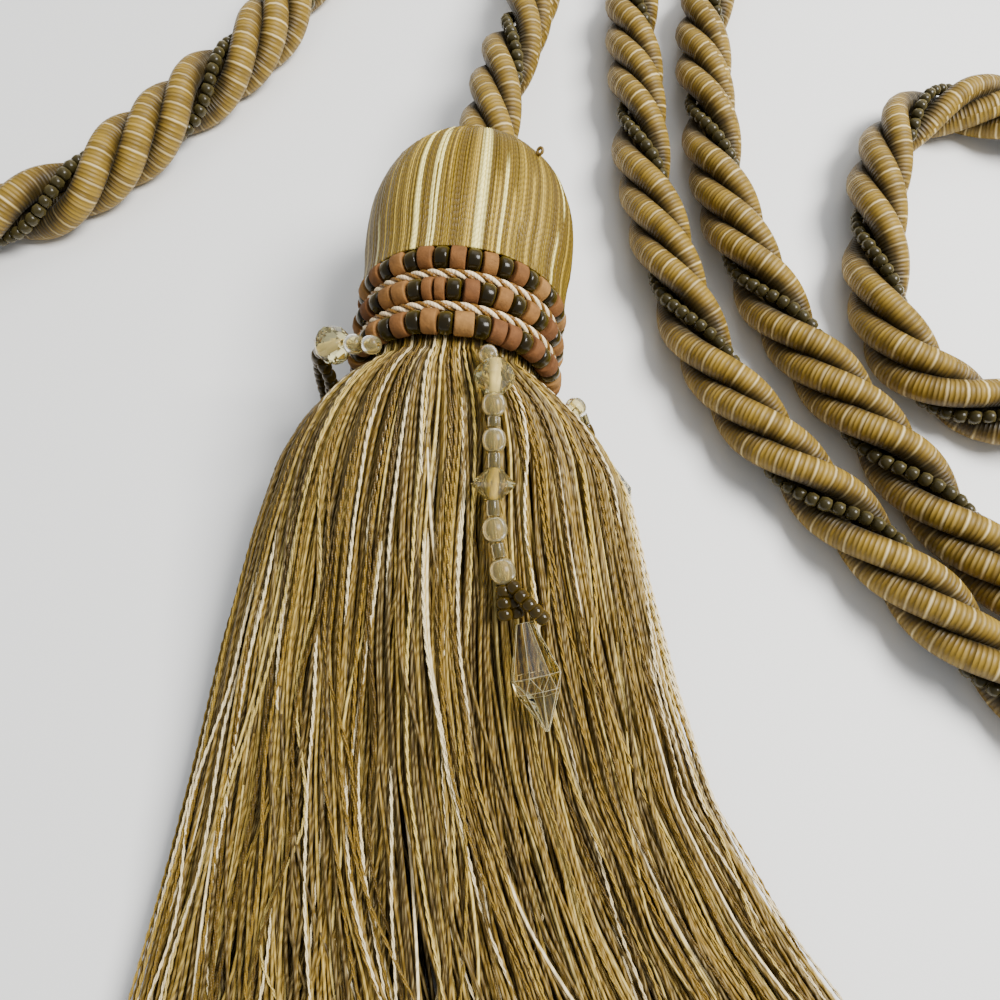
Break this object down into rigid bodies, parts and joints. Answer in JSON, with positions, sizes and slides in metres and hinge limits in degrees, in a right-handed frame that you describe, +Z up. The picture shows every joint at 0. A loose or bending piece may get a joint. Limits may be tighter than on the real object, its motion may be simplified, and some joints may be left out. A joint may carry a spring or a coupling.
{
  "type": "curtain tieback tassel",
  "caption": "Curtain tieback tassel with a thread-covered head, beaded collar, hanging glass bead drops, a spread thread skirt and a long twisted rope.",
  "frame": {"origin": "on the surface the tassel lies on, under the centre of the tassel's own box, the rope left out", "axes": "+Y along the head's axis towards the rope, +Z up from the surface, +X to the right seen from above with the rope end away"},
  "size_m": [0.4338, 0.4444, 0.0537],
  "materials": {
    "skirt_thread": "lustrous twisted thread",
    "head_thread": "lustrous flat-laid floss",
    "clay_bead": "dry, slightly chalky",
    "dark_glass": "polished",
    "collar_cord": "lustrous two-colour twist",
    "clear_glass": "polished, cut facets",
    "frosted_glass": "softly frosted",
    "rope_gimp": "thread wound crosswise on each ply",
    "whipping_thread": "tightly wound thread"
  },
  "bodies": {
    "root": {"tassel": "skirt_thread", "bead_row_1": "clay_bead", "bead_row_2": "clay_bead", "bead_row_3": "clay_bead", "collar_cord_1": "collar_cord", "collar_cord_2": "collar_cord", "drop_front": "clear_glass", "drop_left": "clear_glass", "drop_right": "clear_glass", "pendant_front": "clear_glass", "pendant_left": "clear_glass", "pendant_right": "clear_glass", "rope": "rope_gimp", "rope_whipping": "whipping_thread"}
  },
  "joints": []
}
